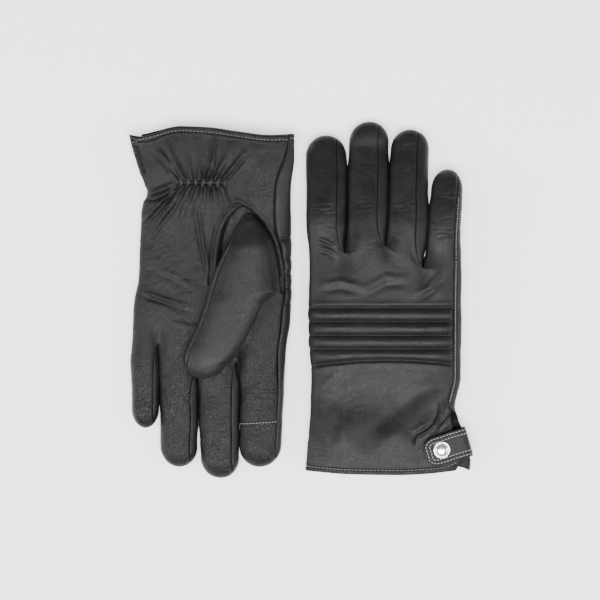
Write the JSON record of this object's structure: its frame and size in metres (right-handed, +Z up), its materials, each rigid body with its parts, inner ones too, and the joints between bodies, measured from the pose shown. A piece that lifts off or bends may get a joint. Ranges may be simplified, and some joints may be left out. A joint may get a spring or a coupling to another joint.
{
  "type": "leather gloves",
  "caption": "Pair of lined leather dress gloves lying flat, with quilted backs, a gathered wrist and a snap strap at the cuff.",
  "frame": {"origin": "on the table under the middle of the pair's bounding box", "axes": "+Z up from the table, out of the back of the right glove and out of the palm of the left; +Y towards the right glove's fingertips and the left glove's cuff; +X from the left glove to the right"},
  "size_m": [0.2412, 0.2498, 0.0304],
  "materials": {
    "back_leather": "smooth black nappa with a soft sheen",
    "palm_leather": "black leather with a fine pebble grain",
    "side_leather": "thin smooth black leather",
    "lining": "black brushed knit",
    "elastic": "woven elastic tape",
    "wadding": "soft grey wadding",
    "snap_metal": "polished nickel",
    "thread": "black sewing thread, lighter on the strap"
  },
  "bodies": {
    "left_index_finger": {"left_index_back": "back_leather", "left_index_palm": "palm_leather", "left_index_far_side": "side_leather", "left_touch_tip": "side_leather"},
    "left_middle_finger": {"left_middle_back": "back_leather", "left_middle_palm": "palm_leather", "left_middle_far_side": "side_leather", "left_middle_near_side": "side_leather"},
    "left_ring_finger": {"left_ring_back": "back_leather", "left_ring_palm": "palm_leather", "left_ring_far_side": "side_leather", "left_ring_near_side": "side_leather"},
    "left_pinky_finger": {"left_pinky_back": "back_leather", "left_pinky_palm": "palm_leather", "left_pinky_near_side": "side_leather"},
    "left_thumb": {"left_thumb_outer": "back_leather", "left_thumb_inner": "back_leather"},
    "left_strap": {"left_strap_leather": "back_leather", "left_strap_backing": "palm_leather", "left_snap_cap": "snap_metal"},
    "left_hand": {"left_back_panel": "back_leather", "left_hand_lining": "lining", "left_index_middle_fourchette": "side_leather", "left_middle_ring_fourchette": "side_leather", "left_palm_panel": "palm_leather", "left_rib_padding": "wadding", "left_ring_pinky_fourchette": "side_leather", "left_snap_stud": "snap_metal", "left_thumb_base": "back_leather", "left_wrist_elastic": "elastic"},
    "right_index_finger": {"right_index_back": "back_leather", "right_index_palm": "palm_leather", "right_index_far_side": "side_leather", "right_touch_tip": "side_leather"},
    "right_middle_finger": {"right_middle_back": "back_leather", "right_middle_palm": "palm_leather", "right_middle_far_side": "side_leather", "right_middle_near_side": "side_leather"},
    "right_ring_finger": {"right_ring_back": "back_leather", "right_ring_palm": "palm_leather", "right_ring_far_side": "side_leather", "right_ring_near_side": "side_leather"},
    "right_pinky_finger": {"right_pinky_back": "back_leather", "right_pinky_palm": "palm_leather", "right_pinky_near_side": "side_leather"},
    "right_thumb": {"right_thumb_outer": "back_leather", "right_thumb_inner": "back_leather"},
    "right_strap": {"right_strap_leather": "back_leather", "right_strap_backing": "palm_leather", "right_snap_cap": "snap_metal"},
    "right_hand": {"right_back_panel": "back_leather", "right_hand_lining": "lining", "right_index_middle_fourchette": "side_leather", "right_middle_ring_fourchette": "side_leather", "right_palm_panel": "palm_leather", "right_rib_padding": "wadding", "right_ring_pinky_fourchette": "side_leather", "right_snap_stud": "snap_metal", "right_thumb_base": "back_leather", "right_wrist_elastic": "elastic"}
  },
  "joints": [
    {"name": "right_glove_lift", "type": "slide", "parent": "left_hand", "child": "right_hand", "axis": [0, 0, 1], "range_m": [0, 0.12]},
    {"name": "left_index_fold", "type": "hinge", "parent": "left_hand", "child": "left_index_finger", "pos_m": [-0.02675, -0.06535, 0.01086], "axis": [-1, 0, 0], "range_deg": [0, 75]},
    {"name": "left_middle_fold", "type": "hinge", "parent": "left_hand", "child": "left_middle_finger", "pos_m": [-0.05795, -0.06835, 0.01085], "axis": [-1, 0, 0], "range_deg": [0, 75]},
    {"name": "left_ring_fold", "type": "hinge", "parent": "left_hand", "child": "left_ring_finger", "pos_m": [-0.08605, -0.06535, 0.01086], "axis": [-1, 0, 0], "range_deg": [0, 75]},
    {"name": "left_pinky_fold", "type": "hinge", "parent": "left_hand", "child": "left_pinky_finger", "pos_m": [-0.11015, -0.04735, 0.0109], "axis": [-1, 0, 0], "range_deg": [0, 75]},
    {"name": "left_thumb_lift", "type": "hinge", "parent": "left_hand", "child": "left_thumb", "pos_m": [-0.04288, 0.00065, 0.02916], "axis": [-1, 0, 0], "range_deg": [0, 60]},
    {"name": "left_strap_open", "type": "hinge", "parent": "left_hand", "child": "left_strap", "pos_m": [-0.11565, 0.09687, 0.01036], "axis": [-0.2756, 0.9613, 0], "range_deg": [0, 110]},
    {"name": "right_index_fold", "type": "hinge", "parent": "right_hand", "child": "right_index_finger", "pos_m": [0.01735, 0.06325, 0.01493], "axis": [-1, 0, 0], "range_deg": [0, 75]},
    {"name": "right_middle_fold", "type": "hinge", "parent": "right_hand", "child": "right_middle_finger", "pos_m": [0.04635, 0.06825, 0.014], "axis": [-1, 0, 0], "range_deg": [0, 75]},
    {"name": "right_ring_fold", "type": "hinge", "parent": "right_hand", "child": "right_ring_finger", "pos_m": [0.07485, 0.06525, 0.01458], "axis": [-1, 0, 0], "range_deg": [0, 75]},
    {"name": "right_pinky_fold", "type": "hinge", "parent": "right_hand", "child": "right_pinky_finger", "pos_m": [0.09985, 0.04725, 0.0164], "axis": [-1, 0, 0], "range_deg": [0, 75]},
    {"name": "right_thumb_lift", "type": "hinge", "parent": "right_hand", "child": "right_thumb", "pos_m": [0.03918, -0.00275, -0.00007], "axis": [-1, 0, 0], "range_deg": [0, 60]},
    {"name": "right_strap_open", "type": "hinge", "parent": "right_hand", "child": "right_strap", "pos_m": [0.11775, -0.09897, 0.01214], "axis": [-0.2756, 0.9613, 0], "range_deg": [0, 110]}
  ]
}
